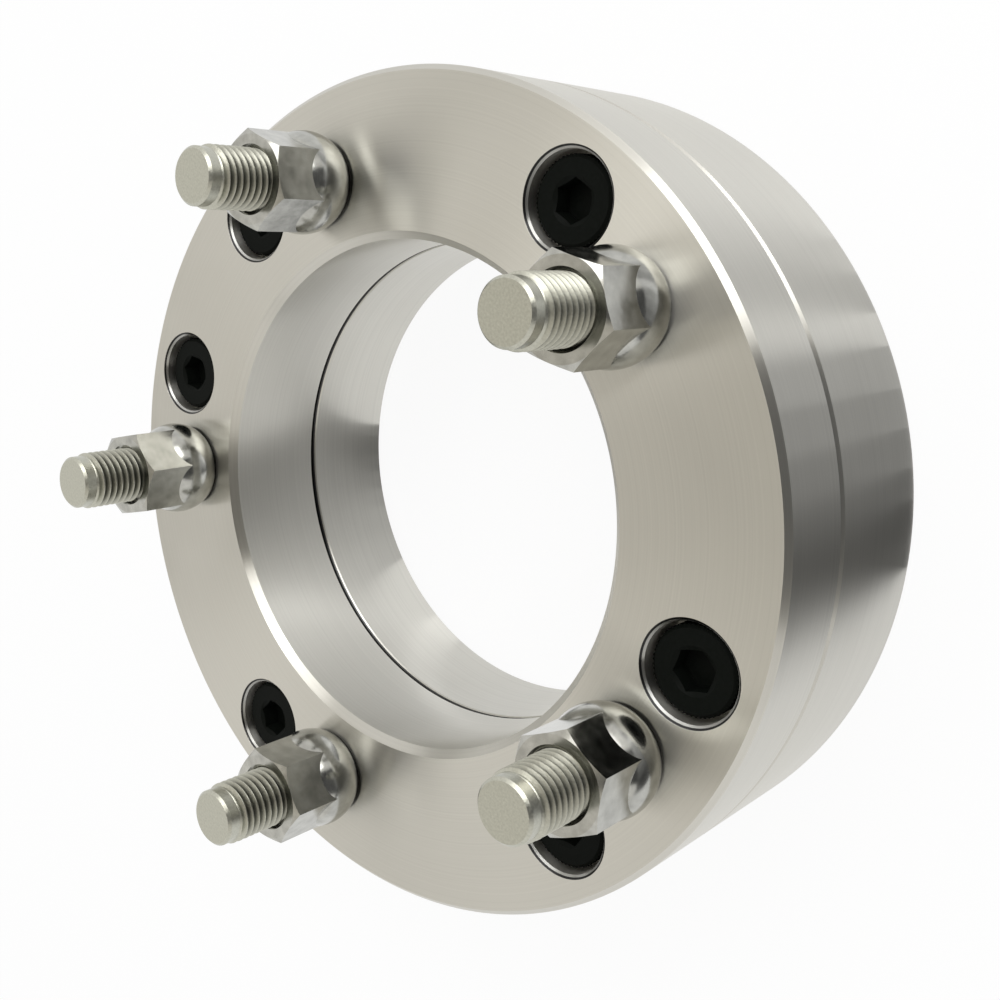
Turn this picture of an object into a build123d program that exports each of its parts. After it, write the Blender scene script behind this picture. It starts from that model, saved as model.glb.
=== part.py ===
"""Two-piece wheel spacer: a hub plate and a wheel plate, clamped by screws, with studs and lug nuts.

The axis is +Z. The origin is the centre of the hub face, and the wheel face is on top.
Lengths are in millimetres and angles in degrees.
"""

from build123d import *
from math import cos, radians, sin, sqrt, tan
import os

# Both plates
bore_diameter = 101.0
back_rim_height = 31.5  # visible rim of the back plate
front_rim_height = 18.5  # visible rim of the front plate
register_depth = 6.4  # recess in the back plate, for the boss of the front plate
register_end_gap = 0.9  # the boss stops this far above the floor of the recess
register_wall = 3.1  # metal of the boss outside the stud heads
register_clearance = 0.1  # radial, between the boss and the recess
rim_wall = 4.4  # metal of the back plate around the recess

# Edges of the plates
face_rim_chamfer = 1.0
hub_rim_chamfer = 1.0
back_seam_chamfer = 1.2
front_seam_chamfer = 0.5
face_bore_chamfer = 1.5
hub_bore_chamfer = 3.0
bore_seam_chamfer = 0.5
bore_seam_front_chamfer = 0.2

# Wheel studs
stud_count = 5
stud_circle_diameter = 130.0
stud_thread_diameter = 12.0
stud_standout = 32.0
stud_point_step = 0.5  # radial, from the thread down to the smooth point
stud_point_length = 2.6
stud_end_chamfer = 0.5
stud_head_diameter = 19.0
stud_head_thickness = 4.0
stud_head_gap = 0.2  # head lies this far below the boss face
stud_head_clearance = 0.4
knurl_height = 0.7  # radial, over the thread
knurl_depth = 0.35
knurl_teeth = 30
knurl_length = 11.0
knurl_clearance = 0.03

# Lug nuts
nut_across_flats = 17.0
nut_height = 18.4  # from the wheel face to the front of the nut
nut_chamfer_angle = 30.0
nut_chamfer_height = 0.75  # at the corners of the hexagon
nut_collar_radius = 8.0  # of the arc that the collar's outline follows
nut_collar_diameter = 20.3
nut_collar_height = 5.0  # widest place, above the wheel face
nut_rim_height = 0.5  # gap between the collar's rim and the wheel face
nut_seat_angle = 60.0
nut_tip_land = 0.4  # flat ring at the tip of the seat cone
nut_mouth_width = 0.6  # radial, of the chamfer at both ends of the bore
nut_mouth_angle = 90.0
nut_thread_clearance = 0.1
seat_clearance = 0.03
nut_turns = (56.7, 6.5, 48.0, 10.2, 40.6)  # how far each nut stands turned on its stud

# Clamp screws
screw_offset = 4.0  # radial, outside the studs' circle
screw_angles = (18.0, 90.0, 162.0, 198.0, 270.0, 342.0)
screw_socket_turns = (45.0, 0.0, 0.0, 20.0, 19.5, 33.0)
screw_diameter = 10.0
screw_length = 30.0
screw_end_chamfer = 1.0
screw_head_diameter = 16.0
screw_head_height = 6.0
screw_head_chamfer = 0.5
screw_teeth = 40
screw_tooth_depth = 0.25
socket_across_flats = 7.0
socket_depth = 4.2
socket_mouth_chamfer = 0.3
socket_mouth_angle = 30.0  # from the top of the head
head_below_face = 1.6
recess_clearance = 0.75  # radial, around the head
recess_chamfer = 0.7
screw_hole_clearance = 0.5  # radial, around the shank
screw_thread_clearance = 0.05
tapped_hole_spare = 4.9  # depth below the end of the screw
drill_point_angle = 118.0

# Holes for the vehicle's hub studs
hub_hole_count = 6
hub_circle_diameter = 130.0
hub_hole_diameter = 14.5
hub_seat_diameter = 20.0
hub_seat_angle = 60.0
hub_pocket_diameter = 25.0
hub_web_thickness = 12.0  # metal between the hub face and the pocket floor

# Heights that follow from the sizes above
recess_floor_height = back_rim_height - register_depth
boss_end_height = recess_floor_height + register_end_gap
face_height = back_rim_height + front_rim_height
screw_seat_height = face_height - head_below_face - screw_head_height
screw_end_height = screw_seat_height - screw_length
tapped_hole_depth = recess_floor_height - screw_end_height + tapped_hole_spare

# Radii that follow from the sizes above
stud_circle_radius = stud_circle_diameter / 2
stud_thread_radius = stud_thread_diameter / 2
knurl_radius = stud_thread_radius + knurl_height
head_pocket_radius = stud_head_diameter / 2 + stud_head_clearance
register_radius = stud_circle_radius + head_pocket_radius + register_wall
register_recess_radius = register_radius + register_clearance
outer_radius = register_recess_radius + rim_wall
recess_radius = screw_head_diameter / 2 + recess_clearance

# Seat of the lug nuts
seat_slope = tan(radians(nut_seat_angle / 2))
nut_thread_radius = stud_thread_radius + nut_thread_clearance
nut_mouth_radius = nut_thread_radius + nut_mouth_width
nut_tip_radius = nut_mouth_radius + nut_tip_land
nut_collar_axis = nut_collar_diameter / 2 - nut_collar_radius
nut_rim_drop = nut_collar_height - nut_rim_height
nut_rim_radius = nut_collar_axis + sqrt(nut_collar_radius**2 - nut_rim_drop**2)
nut_tip_depth = (nut_rim_radius - nut_tip_radius) / seat_slope - nut_rim_height
seat_mouth_radius = nut_rim_radius - nut_rim_height * seat_slope + seat_clearance


def rims(part, radius, height):
    """Circular edges of a part that have this radius and lie at this height."""
    circles = part.edges().filter_by(GeomType.CIRCLE)
    circles = circles.filter_by(lambda edge: abs(edge.radius - radius) < 0.001)
    return circles.filter_by_position(Axis.Z, height - 0.001, height + 0.001)


def toothed_ring(tip_radius, tooth_depth, teeth):
    """Corners of a closed outline with V-shaped teeth, such as a knurl."""
    corners = []
    for tooth in range(teeth):
        tip_angle = radians(360 * tooth / teeth)
        root_angle = radians(360 * (tooth + 0.5) / teeth)
        root_radius = tip_radius - tooth_depth
        corners.append((tip_radius * cos(tip_angle), tip_radius * sin(tip_angle)))
        corners.append((root_radius * cos(root_angle), root_radius * sin(root_angle)))
    return corners


def polar(radius, angle):
    """Point of a circle around the axis."""
    return radius * cos(radians(angle)), radius * sin(radians(angle))


screw_places = [polar(stud_circle_radius + screw_offset, angle) for angle in screw_angles]
os.makedirs("parts", exist_ok=True)

# Back plate: turned ring with a recess for the front plate's boss
with BuildPart() as back_plate:
    with BuildSketch():
        Circle(outer_radius)
        Circle(bore_diameter / 2, mode=Mode.SUBTRACT)
    extrude(amount=back_rim_height)
    with BuildSketch(Plane.XY.offset(recess_floor_height)):
        Circle(register_recess_radius)
    extrude(amount=register_depth, mode=Mode.SUBTRACT)
    chamfer(rims(back_plate, outer_radius, 0), hub_rim_chamfer)
    chamfer(rims(back_plate, outer_radius, back_rim_height), back_seam_chamfer)
    chamfer(rims(back_plate, bore_diameter / 2, 0), hub_bore_chamfer)
    chamfer(rims(back_plate, bore_diameter / 2, recess_floor_height), bore_seam_chamfer)

    # Pockets with conical seats, where the vehicle's hub nuts sit
    with Locations(Plane.XY.offset(hub_web_thickness)):
        with PolarLocations(hub_circle_diameter / 2, hub_hole_count):
            CounterSinkHole(
                hub_hole_diameter / 2,
                hub_seat_diameter / 2,
                depth=hub_web_thickness,
                counter_sink_angle=hub_seat_angle,
            )
    with BuildSketch(Plane.XY.offset(hub_web_thickness)):
        with PolarLocations(hub_circle_diameter / 2, hub_hole_count):
            Circle(hub_pocket_diameter / 2)
    extrude(amount=recess_floor_height - hub_web_thickness, mode=Mode.SUBTRACT)

    # Tapped holes for the clamp screws, with the drill's point at the bottom
    tapped_radius = screw_diameter / 2 + screw_thread_clearance
    drill_point = tapped_radius / tan(radians(drill_point_angle / 2))
    with Locations(Plane.XY.offset(recess_floor_height)):
        with Locations(*screw_places):
            Hole(tapped_radius, depth=tapped_hole_depth)
    with Locations(Plane.XY.offset(recess_floor_height - tapped_hole_depth)):
        with Locations(*screw_places):
            Cone(
                0,
                tapped_radius,
                drill_point,
                align=(Align.CENTER, Align.CENTER, Align.MAX),
                mode=Mode.SUBTRACT,
            )
back_plate.part.label = "back_plate"
export_step(back_plate.part, "parts/back_plate.step")

# Front plate: turned ring with a boss behind, recessed for the screws and bored for the studs
with BuildPart() as front_plate:
    with BuildSketch(Plane.XY.offset(boss_end_height)):
        Circle(register_radius)
        Circle(bore_diameter / 2, mode=Mode.SUBTRACT)
    extrude(amount=back_rim_height - boss_end_height)
    with BuildSketch(Plane.XY.offset(back_rim_height)):
        Circle(outer_radius)
        Circle(bore_diameter / 2, mode=Mode.SUBTRACT)
    extrude(amount=front_rim_height)
    chamfer(rims(front_plate, outer_radius, face_height), face_rim_chamfer)
    chamfer(rims(front_plate, outer_radius, back_rim_height), front_seam_chamfer)
    chamfer(rims(front_plate, bore_diameter / 2, face_height), face_bore_chamfer)
    chamfer(rims(front_plate, bore_diameter / 2, boss_end_height), bore_seam_front_chamfer)

    # Recesses and clearance holes for the clamp screws
    with Locations(Plane.XY.offset(face_height)):
        with Locations(*screw_places):
            CounterBoreHole(
                screw_diameter / 2 + screw_hole_clearance,
                recess_radius,
                face_height - screw_seat_height,
                depth=face_height - boss_end_height,
            )
    chamfer(rims(front_plate, recess_radius, face_height), recess_chamfer)

    # Stud holes: countersunk in front for the lug nuts, counterbored behind for the stud heads
    with Locations(Plane.XY.offset(face_height)):
        with PolarLocations(stud_circle_radius, stud_count):
            CounterSinkHole(
                knurl_radius + knurl_clearance,
                seat_mouth_radius,
                depth=face_height - boss_end_height,
                counter_sink_angle=nut_seat_angle,
            )
    head_pocket_depth = stud_head_thickness + stud_head_gap
    with BuildSketch(Plane.XY.offset(boss_end_height)):
        with PolarLocations(stud_circle_radius, stud_count):
            Circle(head_pocket_radius)
    extrude(amount=head_pocket_depth, mode=Mode.SUBTRACT)
front_plate.part.label = "front_plate"
export_step(front_plate.part, "parts/front_plate.step")

# Wheel stud: head, knurled shank, thread and smooth point
stud_head_bottom = boss_end_height + stud_head_gap
stud_seat_height = stud_head_bottom + stud_head_thickness
stud_end_height = face_height + stud_standout
stud_point_radius = stud_thread_radius - stud_point_step
thread_end_height = stud_end_height - stud_point_length
with BuildPart() as wheel_stud:
    with BuildSketch(Plane.XZ):
        with BuildLine():
            Polyline(
                (0, stud_head_bottom),
                (stud_head_diameter / 2, stud_head_bottom),
                (stud_head_diameter / 2, stud_seat_height),
                (stud_thread_radius, stud_seat_height),
                (stud_thread_radius, thread_end_height - stud_point_step),
                (stud_point_radius, thread_end_height),
                (stud_point_radius, stud_end_height - stud_end_chamfer),
                (stud_point_radius - stud_end_chamfer, stud_end_height),
                (0, stud_end_height),
                close=True,
            )
        make_face()
    revolve(axis=Axis.Z)
    chamfer(rims(wheel_stud, stud_head_diameter / 2, stud_head_bottom), stud_end_chamfer)
    with BuildSketch(Plane.XY.offset(stud_seat_height)):
        with BuildLine():
            Polyline(*toothed_ring(knurl_radius, knurl_depth, knurl_teeth), close=True)
        make_face()
    extrude(amount=knurl_length)

stud_places = PolarLocations(stud_circle_radius, stud_count).locations
for number, place in enumerate(stud_places, start=1):
    stud = wheel_stud.part.moved(place)
    stud.label = f"wheel_stud_{number}"
    export_step(stud, f"parts/wheel_stud_{number}.step")

# Lug nut: chamfered hexagon, ball-shaped collar, seat cone and threaded bore
nut_corner_radius = nut_across_flats / sqrt(3)
nut_front_radius = nut_corner_radius - nut_chamfer_height / tan(radians(nut_chamfer_angle))
collar_centre_height = face_height + nut_collar_height
collar_waist_radius = nut_across_flats / 2
collar_waist_rise = sqrt(nut_collar_radius**2 - (collar_waist_radius - nut_collar_axis) ** 2)
nut_front_height = face_height + nut_height
nut_tip_height = face_height - nut_tip_depth
with BuildPart() as lug_nut:
    with BuildSketch(Plane.XY.offset(collar_centre_height)):
        RegularPolygon(nut_across_flats / 2, 6, major_radius=False)
    extrude(amount=nut_front_height - collar_centre_height)
    with BuildSketch(Plane.XZ):
        with BuildLine():
            Polyline(
                (0, collar_centre_height),
                (nut_corner_radius, collar_centre_height),
                (nut_corner_radius, nut_front_height - nut_chamfer_height),
                (nut_front_radius, nut_front_height),
                (0, nut_front_height),
                close=True,
            )
        make_face()
    revolve(axis=Axis.Z, mode=Mode.INTERSECT)
    with BuildSketch(Plane.XZ):
        with BuildLine():
            ThreePointArc(
                (nut_rim_radius, face_height + nut_rim_height),
                (nut_collar_diameter / 2, collar_centre_height),
                (collar_waist_radius, collar_centre_height + collar_waist_rise),
            )
            Polyline(
                (collar_waist_radius, collar_centre_height + collar_waist_rise),
                (0, collar_centre_height + collar_waist_rise),
                (0, nut_tip_height),
                (nut_tip_radius, nut_tip_height),
                (nut_rim_radius, face_height + nut_rim_height),
            )
        make_face()
    revolve(axis=Axis.Z)
    # The threaded bore is countersunk at both ends
    with Locations(Plane.XY.offset(nut_front_height)):
        CounterSinkHole(
            nut_thread_radius,
            nut_mouth_radius,
            depth=nut_front_height - nut_tip_height,
            counter_sink_angle=nut_mouth_angle,
        )
    with Locations(Plane.XY.offset(nut_tip_height)):
        with Locations(Rotation(180, 0, 0)):
            CounterSinkHole(
                nut_thread_radius,
                nut_mouth_radius,
                depth=nut_front_height - nut_tip_height,
                counter_sink_angle=nut_mouth_angle,
            )

for number, (place, turn) in enumerate(zip(stud_places, nut_turns), start=1):
    nut = lug_nut.part.moved(place * Rotation(0, 0, turn))
    nut.label = f"lug_nut_{number}"
    export_step(nut, f"parts/lug_nut_{number}.step")

# Clamp screw: low head with a knurled side and a hexagon socket
screw_head_radius = screw_head_diameter / 2
head_root_radius = screw_head_radius - screw_tooth_depth
head_top_height = screw_seat_height + screw_head_height
socket_corner_radius = socket_across_flats / sqrt(3)
with BuildPart() as clamp_screw:
    with BuildSketch(Plane.XY.offset(screw_seat_height)):
        with BuildLine():
            Polyline(*toothed_ring(screw_head_radius, screw_tooth_depth, screw_teeth), close=True)
        make_face()
    extrude(amount=screw_head_height - screw_head_chamfer)
    with BuildSketch(Plane.XZ):
        with BuildLine():
            Polyline(
                (0, screw_end_height),
                (screw_diameter / 2 - screw_end_chamfer, screw_end_height),
                (screw_diameter / 2, screw_end_height + screw_end_chamfer),
                (screw_diameter / 2, screw_seat_height),
                (head_root_radius, screw_seat_height),
                (head_root_radius, head_top_height - screw_head_chamfer),
                (head_root_radius - screw_head_chamfer, head_top_height),
                (0, head_top_height),
                close=True,
            )
        make_face()
    revolve(axis=Axis.Z)
    with BuildSketch(Plane.XY.offset(head_top_height - socket_depth)):
        RegularPolygon(socket_across_flats / 2, 6, major_radius=False)
    extrude(amount=socket_depth, mode=Mode.SUBTRACT)
    with BuildSketch(Plane.XZ):
        socket_mouth_radius = socket_corner_radius + socket_mouth_chamfer
        with BuildLine():
            Polyline(
                (0, head_top_height),
                (socket_mouth_radius, head_top_height),
                (0, head_top_height - socket_mouth_radius * tan(radians(socket_mouth_angle))),
                close=True,
            )
        make_face()
    revolve(axis=Axis.Z, mode=Mode.SUBTRACT)

for number, (place, turn) in enumerate(zip(screw_places, screw_socket_turns), start=1):
    screw = clamp_screw.part.moved(Location((*place, 0), (0, 0, turn)))
    screw.label = f"clamp_screw_{number}"
    export_step(screw, f"parts/clamp_screw_{number}.step")
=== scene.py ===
# %% [markdown]
# # A two-piece wheel spacer
#
# A wheel spacer moves a wheel away from the hub. This one is two turned aluminium rings, clamped by six
# black screws. Five studs with open lug nuts stand out of the front ring, where the wheel goes on.
# The drawing office has given each piece as a solid. We load those solids as a frame, build a finer
# piece over each of them at the same size and place, and give each its finish.

# %% Load the frame
import math

import bmesh
import bpy
from mathutils import Matrix, Vector


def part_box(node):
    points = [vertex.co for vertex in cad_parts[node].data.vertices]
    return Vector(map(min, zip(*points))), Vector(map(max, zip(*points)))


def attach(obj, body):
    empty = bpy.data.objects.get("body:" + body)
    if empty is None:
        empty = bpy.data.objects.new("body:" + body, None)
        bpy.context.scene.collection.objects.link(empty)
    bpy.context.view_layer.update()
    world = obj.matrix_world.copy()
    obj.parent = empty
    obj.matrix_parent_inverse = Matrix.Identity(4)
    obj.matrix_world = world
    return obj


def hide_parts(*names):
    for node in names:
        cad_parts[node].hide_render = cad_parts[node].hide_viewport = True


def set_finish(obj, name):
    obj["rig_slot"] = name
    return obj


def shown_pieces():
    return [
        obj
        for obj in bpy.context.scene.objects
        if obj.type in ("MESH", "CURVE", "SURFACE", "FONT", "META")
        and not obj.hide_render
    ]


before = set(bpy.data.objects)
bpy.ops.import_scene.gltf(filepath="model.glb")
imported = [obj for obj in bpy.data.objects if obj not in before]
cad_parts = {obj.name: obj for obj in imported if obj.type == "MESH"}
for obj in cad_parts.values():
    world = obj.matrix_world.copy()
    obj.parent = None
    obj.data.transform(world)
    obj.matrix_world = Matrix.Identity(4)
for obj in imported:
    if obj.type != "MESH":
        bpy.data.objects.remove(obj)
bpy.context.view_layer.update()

# %% [markdown]
# ## Sizes
#
# The large sizes are read from the boxes of the solids, so that the new pieces can't drift away from
# them. The small ones, such as the width of a chamfer, can't be read from a box. Each of those is
# written once, in millimetres, shortly before it is needed, and `MM` turns them into Blender's metres.

# %% Sizes read from the frame
MM = 0.001


def height_range(node):
    """Lowest and highest point of a solid, in millimetres."""
    low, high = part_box(node)
    return low[2] / MM, high[2] / MM


def centre_spot(node):
    """Where a solid's upright axis stands, in millimetres."""
    low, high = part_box(node)
    return (low[0] + high[0]) / 2 / MM, (low[1] + high[1]) / 2 / MM


def width_of(node):
    """Width of a solid along X, in millimetres."""
    low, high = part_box(node)
    return (high[0] - low[0]) / MM


def numbered(name, count):
    """Names of the solids that come several times."""
    return [f"{name}_{number}" for number in range(1, count + 1)]


hub_face, seam = height_range("back_plate")
boss_end, wheel_face = height_range("front_plate")
outer_radius = width_of("front_plate") / 2
stud_nodes = numbered("wheel_stud", 5)
nut_nodes = numbered("lug_nut", 5)
screw_nodes = numbered("clamp_screw", 6)
stud_spots = [centre_spot(node) for node in stud_nodes]
screw_spots = [centre_spot(node) for node in screw_nodes]
print(f"rings reach {outer_radius:.2f} mm out, and the wheel face is {wheel_face:.2f} mm up")

# %% Small sizes of the rings
bore_radius = 50.5
register_radius = 78.0
register_clearance = 0.1
register_depth = 6.4
recess_floor = seam - register_depth
face_rim_chamfer = 1.0
hub_rim_chamfer = 1.0
back_seam_chamfer = 1.2
front_seam_chamfer = 0.5
face_bore_chamfer = 1.5
hub_bore_chamfer = 3.0
bore_seam_chamfer = 0.5
bore_seam_front_chamfer = 0.2
ring_steps = 288
print(f"the front ring's boss stops {boss_end - recess_floor:.2f} mm short of the recess floor")

# %% [markdown]
# ## Drawing and turning a profile
#
# Nearly every piece here was made on a lathe, so it is modelled like that. One vertex is extruded from
# corner to corner, which draws half of the piece's section, and Spin turns that outline about the
# upright axis. A boolean of cylinders would give the same ring, but the outline keeps each chamfer in
# one readable list.


# %% Draw an outline
def only(piece):
    """Selects this piece alone and makes it the active one."""
    bpy.ops.object.select_all(action="DESELECT")
    piece.select_set(True)
    bpy.context.view_layer.objects.active = piece


def edit(piece):
    """Opens a piece in edit mode with nothing selected."""
    only(piece)
    bpy.ops.object.mode_set(mode="EDIT")
    bpy.ops.mesh.select_mode(type="VERT")
    bpy.ops.mesh.select_all(action="DESELECT")


def draw(name, corners):
    """Extrudes one vertex from corner to corner and stays in edit mode. Corners are in millimetres."""
    points = [Vector(corner) * MM for corner in corners]
    bpy.ops.object.select_all(action="DESELECT")
    bpy.ops.mesh.primitive_plane_add(size=MM, location=points[0])
    piece = bpy.context.object
    piece.name = name
    bpy.ops.object.transform_apply(location=True, rotation=True, scale=True)
    edit(piece)
    bpy.ops.mesh.select_all(action="SELECT")
    bpy.ops.mesh.merge(type="CENTER")
    for here, there in zip(points, points[1:]):
        bpy.ops.mesh.extrude_region_move(TRANSFORM_OT_translate={"value": there - here})
    return piece


# %% Turn it about the upright axis
merge_distance = 0.0005 * MM


def section(corners):
    """Stands an outline of (radius, height) corners up in the plane through the axis."""
    return [(radius, 0, height) for radius, height in corners]


def close_up(piece):
    """Merges doubled vertices, turns all faces outwards and leaves edit mode."""
    bpy.ops.mesh.select_all(action="SELECT")
    bpy.ops.mesh.remove_doubles(threshold=merge_distance)
    bpy.ops.mesh.normals_make_consistent(inside=False)
    bpy.ops.object.mode_set(mode="OBJECT")
    return piece


def turn(name, corners, steps):
    """Spins an outline of (radius, height) corners into a closed turned piece."""
    open_ended = corners[0][0] == 0 and corners[-1][0] == 0
    piece = draw(name, section(corners if open_ended else corners + corners[:1]))
    bpy.ops.mesh.select_all(action="SELECT")
    bpy.ops.mesh.spin(steps=steps, angle=math.tau, center=(0, 0, 0), axis=(0, 0, 1))
    return close_up(piece)


print(f"vertices closer than {merge_distance / MM} mm become one")

# %% [markdown]
# ## The back ring
#
# This ring lies against the vehicle's hub. It has a shallow recess on top for the front ring's boss,
# and its lower bore edge has a wide chamfer. Its six deep pockets and conical seats are for the hub's
# own nuts. They are hidden once the rings are clamped, but the six holes show in the hub face. We work
# in the order of the real workshop: first the ring is turned, then the holes are cut.

# %% Turn the back ring
back_ring = turn(
    "back_ring",
    [
        (bore_radius + hub_bore_chamfer, hub_face),
        (outer_radius - hub_rim_chamfer, hub_face),
        (outer_radius, hub_face + hub_rim_chamfer),
        (outer_radius, seam - back_seam_chamfer),
        (outer_radius - back_seam_chamfer, seam),
        (register_radius + register_clearance, seam),
        (register_radius + register_clearance, recess_floor),
        (bore_radius + bore_seam_chamfer, recess_floor),
        (bore_radius, recess_floor - bore_seam_chamfer),
        (bore_radius, hub_face + hub_bore_chamfer),
    ],
    ring_steps,
)
print("back ring turned with", len(back_ring.data.polygons), "faces")

# %% [markdown]
# ## Cutting and copying
#
# Holes that stand off the axis can't be spun with the ring, so boolean modifiers cut them, which are
# applied at once. Each cutting tool is a turned piece too, so that a hole, its seat and its pocket are
# cut together. What repeats is modelled once at the axis, copied, and moved inside its own mesh, so
# that every finished object sits at the origin.

# %% Turn the tool for one hub hole
hub_hole_count = 6
hub_circle_radius = 65.0
hub_hole_radius = 7.25
hub_seat_radius = 10.0
hub_seat_angle = 60.0
hub_pocket_radius = 12.5
hub_web = 12.0
over = 2.0  # how far a cutting tool stands past the face that it cuts
hole_steps = 96
seat_depth = (hub_seat_radius - hub_hole_radius) / math.tan(math.radians(hub_seat_angle / 2))
hub_hole = turn(
    "hub_hole",
    [
        (0, hub_face - over),
        (hub_hole_radius, hub_face - over),
        (hub_hole_radius, hub_web - seat_depth),
        (hub_seat_radius, hub_web),
        (hub_pocket_radius, hub_web),
        (hub_pocket_radius, recess_floor + over),
        (0, recess_floor + over),
    ],
    hole_steps,
)
print("tool for one hub hole has", len(hub_hole.data.polygons), "faces")


# %% Copy it round the hub circle
def ring_of_spots(radius, count):
    """Evenly spaced spots on a circle about the axis, in millimetres."""
    angles = [math.tau * number / count for number in range(count)]
    return [(radius * math.cos(angle), radius * math.sin(angle)) for angle in angles]


def copy_to(piece, name, spot, turned=0.0):
    """Copies a piece with a mesh of its own, turns it about its axis and moves it to a spot."""
    twin = piece.copy()
    twin.data = piece.data.copy()
    twin.name = name
    bpy.context.scene.collection.objects.link(twin)
    place = Matrix.Translation(Vector((spot[0] * MM, spot[1] * MM, 0)))
    twin.data.transform(place @ Matrix.Rotation(math.radians(turned), 4, "Z"))
    return twin


def repeat(piece, spots, name):
    """Puts one copy of a piece at each spot and joins them into one cutting tool."""
    copies = [copy_to(piece, name, spot) for spot in spots]
    bpy.data.objects.remove(piece)
    bpy.ops.object.select_all(action="DESELECT")
    for twin in copies:
        twin.select_set(True)
    bpy.context.view_layer.objects.active = copies[0]
    bpy.ops.object.join()
    return copies[0]


hub_holes = repeat(hub_hole, ring_of_spots(hub_circle_radius, hub_hole_count), "hub_holes")
print(hub_hole_count, "hub holes make one tool with", len(hub_holes.data.polygons), "faces")


# %% Cut the hub holes and their pockets
def combine(piece, tool, how):
    """Cuts, joins or trims a piece with a tool, which is used up."""
    only(piece)
    step = piece.modifiers.new("combine", "BOOLEAN")
    step.operation = how
    step.solver = "EXACT"
    step.object = tool
    bpy.ops.object.modifier_apply(modifier=step.name)
    bpy.data.objects.remove(tool)
    return piece


combine(back_ring, hub_holes, "DIFFERENCE")
print("back ring with hub holes has", len(back_ring.data.polygons), "faces")

# %% Cut the tapped holes for the clamp screws
screw_radius = 5.0
screw_low = height_range("clamp_screw_1")[0]
tapped_clearance = 0.05
tapped_radius = screw_radius + tapped_clearance
tapped_spare = 4.9
tapped_floor = screw_low - tapped_spare
drill_angle = 118
drill_point = tapped_radius / math.tan(math.radians(drill_angle / 2))
tapped_hole = turn(
    "tapped_hole",
    [
        (0, tapped_floor - drill_point),
        (tapped_radius, tapped_floor),
        (tapped_radius, recess_floor + over),
        (0, recess_floor + over),
    ],
    hole_steps,
)
combine(back_ring, repeat(tapped_hole, screw_spots, "tapped_holes"), "DIFFERENCE")
print(f"drilled {recess_floor - tapped_floor:.2f} mm deep for the clamp screws")


# %% Finish the back ring
def finish_piece(piece, nodes, slot, sharp=30):
    """Cleans and shades a piece, ties it to the frame, hides the solids it stands for and sets its
    finish.
    """
    edit(piece)
    close_up(piece)
    bpy.ops.object.shade_smooth_by_angle(angle=math.radians(sharp))
    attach(piece, "root")
    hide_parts(*nodes)
    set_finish(piece, slot)
    print(piece.name, "has", len(piece.data.polygons), "faces")


finish_piece(back_ring, ["back_plate"], "turned_aluminium")

# %% [markdown]
# ## The front ring
#
# The front ring carries the studs. Its boss drops into the back ring's recess and stops just short of
# the floor, and that gap is the dark joint line in the bore. Each clamp screw has a flat-bottomed recess
# with a chamfered mouth. Each stud hole is countersunk for the nut's cone and counterbored behind for
# the stud's head. It is turned and cut like the back ring. The countersink's width isn't free: it
# follows from the ball-shaped collar of the nut that sits in it.

# %% Turn the front ring
front_ring = turn(
    "front_ring",
    [
        (bore_radius + bore_seam_front_chamfer, boss_end),
        (register_radius, boss_end),
        (register_radius, seam),
        (outer_radius - front_seam_chamfer, seam),
        (outer_radius, seam + front_seam_chamfer),
        (outer_radius, wheel_face - face_rim_chamfer),
        (outer_radius - face_rim_chamfer, wheel_face),
        (bore_radius + face_bore_chamfer, wheel_face),
        (bore_radius, wheel_face - face_bore_chamfer),
        (bore_radius, boss_end + bore_seam_front_chamfer),
    ],
    ring_steps,
)
print("front ring turned with", len(front_ring.data.polygons), "faces")

# %% Cut the screw recesses
head_height = 6.0
head_below_face = 1.6
recess_radius = 8.75
recess_chamfer = 0.7
screw_hole_radius = 5.5
screw_seat = wheel_face - head_below_face - head_height
screw_recess = turn(
    "screw_recess",
    [
        (0, boss_end - over),
        (screw_hole_radius, boss_end - over),
        (screw_hole_radius, screw_seat),
        (recess_radius, screw_seat),
        (recess_radius, wheel_face - recess_chamfer),
        (recess_radius + recess_chamfer + over, wheel_face + over),
        (0, wheel_face + over),
    ],
    hole_steps,
)
combine(front_ring, repeat(screw_recess, screw_spots, "screw_recesses"), "DIFFERENCE")
print(f"screw heads sit {screw_seat:.2f} mm up")

# %% Work out the countersink from the nut that sits in it
nut_low, nut_top = height_range("lug_nut_1")
collar_radius = width_of("lug_nut_1") / 2
collar_arc = 8.0
collar_height = 5.0
rim_gap = 0.5
seat_angle = 60.0
seat_slope = math.tan(math.radians(seat_angle / 2))
seat_clearance = 0.03
collar_axis = collar_radius - collar_arc
nut_rim_radius = collar_axis + math.sqrt(collar_arc**2 - (collar_height - rim_gap) ** 2)
countersink_radius = nut_rim_radius - rim_gap * seat_slope + seat_clearance
print(f"countersink is {countersink_radius:.2f} mm in radius")

# %% Cut the stud holes
knurl_radius = 6.7
knurl_clearance = 0.03
stud_hole_radius = knurl_radius + knurl_clearance
stud_head_radius = 9.5
stud_head_clearance = 0.4
stud_head_thickness = 4.0
stud_low, stud_top = height_range("wheel_stud_1")
stud_seat = stud_low + stud_head_thickness
stud_hole = turn(
    "stud_hole",
    [
        (0, boss_end - over),
        (stud_head_radius + stud_head_clearance, boss_end - over),
        (stud_head_radius + stud_head_clearance, stud_seat),
        (stud_hole_radius, stud_seat),
        (stud_hole_radius, wheel_face - (countersink_radius - stud_hole_radius) / seat_slope),
        (countersink_radius + over * seat_slope, wheel_face + over),
        (0, wheel_face + over),
    ],
    hole_steps,
)
combine(front_ring, repeat(stud_hole, stud_spots, "stud_holes"), "DIFFERENCE")
finish_piece(front_ring, ["front_plate"], "turned_aluminium")

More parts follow.
